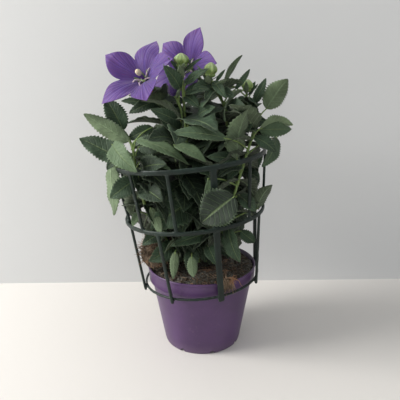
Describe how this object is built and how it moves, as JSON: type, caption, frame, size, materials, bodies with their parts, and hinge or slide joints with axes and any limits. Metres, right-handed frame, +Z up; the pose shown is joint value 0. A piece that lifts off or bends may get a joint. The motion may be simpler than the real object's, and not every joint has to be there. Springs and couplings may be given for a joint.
{
  "type": "potted balloon flower",
  "caption": "Leafy balloon flower with violet star blooms and round buds, growing in a tapered plastic pot inside a round hooped support cage.",
  "frame": {"origin": "centre of the pot's flat base, on the surface that it stands on", "axes": "+Z up along the pot's axis; -Y is the side that the two open flowers look towards, +X to its right"},
  "size_m": [0.1814, 0.1585, 0.3007],
  "materials": {
    "pot_plastic": "thin injection-moulded plastic, satin gloss, violet",
    "potting_mix": "damp dark peat with coir fibre, matt and crumbly",
    "cage_plastic": "moulded dark green plastic, satin",
    "stem": "smooth yellow-green herbaceous stem",
    "leaf": "matt green blade with fine pinnate veins and a toothed margin, paler below",
    "petal": "soft violet petal with darker fine veins, faintly velvety",
    "bud": "pale green inflated bud, satin",
    "style": "cream style and stigma, matt"
  },
  "bodies": {
    "root": {"pot": "pot_plastic", "potting_mix": "potting_mix", "coir_clump": "potting_mix", "cage_hoop_low": "cage_plastic", "cage_hoop_middle": "cage_plastic", "cage_hoop_top": "cage_plastic", "cage_rib_main_1": "cage_plastic", "cage_rib_main_2": "cage_plastic", "cage_rib_main_3": "cage_plastic", "cage_rib_main_4": "cage_plastic", "cage_rib_lower_1": "cage_plastic", "cage_rib_lower_2": "cage_plastic", "cage_rib_lower_3": "cage_plastic", "cage_rib_lower_4": "cage_plastic", "cage_rib_upper_1": "cage_plastic", "cage_rib_upper_2": "cage_plastic", "cage_rib_upper_3": "cage_plastic", "cage_rib_upper_4": "cage_plastic", "cage_rib_upper_5": "cage_plastic", "cage_rib_upper_6": "cage_plastic", "cage_rib_upper_7": "cage_plastic", "cage_rib_upper_8": "cage_plastic", "stem_flower_left": "stem", "stem_flower_back": "stem", "stem_bud_middle": "stem", "stem_bud_right": "stem", "stem_bud_far_right": "stem", "stem_bud_purple": "stem", "stem_right": "stem", "stem_left": "stem", "corolla_left": "petal", "corolla_back": "petal", "style_left": "style", "style_back": "style", "bud_middle": "bud", "bud_right": "bud", "bud_far_right": "bud", "bud_purple": "petal", "leaf_left_1": "leaf", "leaf_left_2": "leaf", "leaf_left_3": "leaf", "leaf_left_4": "leaf", "leaf_left_5": "leaf", "leaf_front_1": "leaf", "leaf_front_2": "leaf", "leaf_front_3": "leaf", "leaf_front_4": "leaf", "leaf_right_1": "leaf", "leaf_right_2": "leaf", "leaf_right_3": "leaf", "leaf_right_4": "leaf", "leaf_top_1": "leaf", "leaf_top_2": "leaf", "leaf_inner_1": "leaf", "leaf_inner_2": "leaf", "leaf_low_1": "leaf", "leaf_low_2": "leaf", "leaf_back_1": "leaf", "leaf_back_2": "leaf", "leaf_back_3": "leaf"}
  },
  "joints": []
}
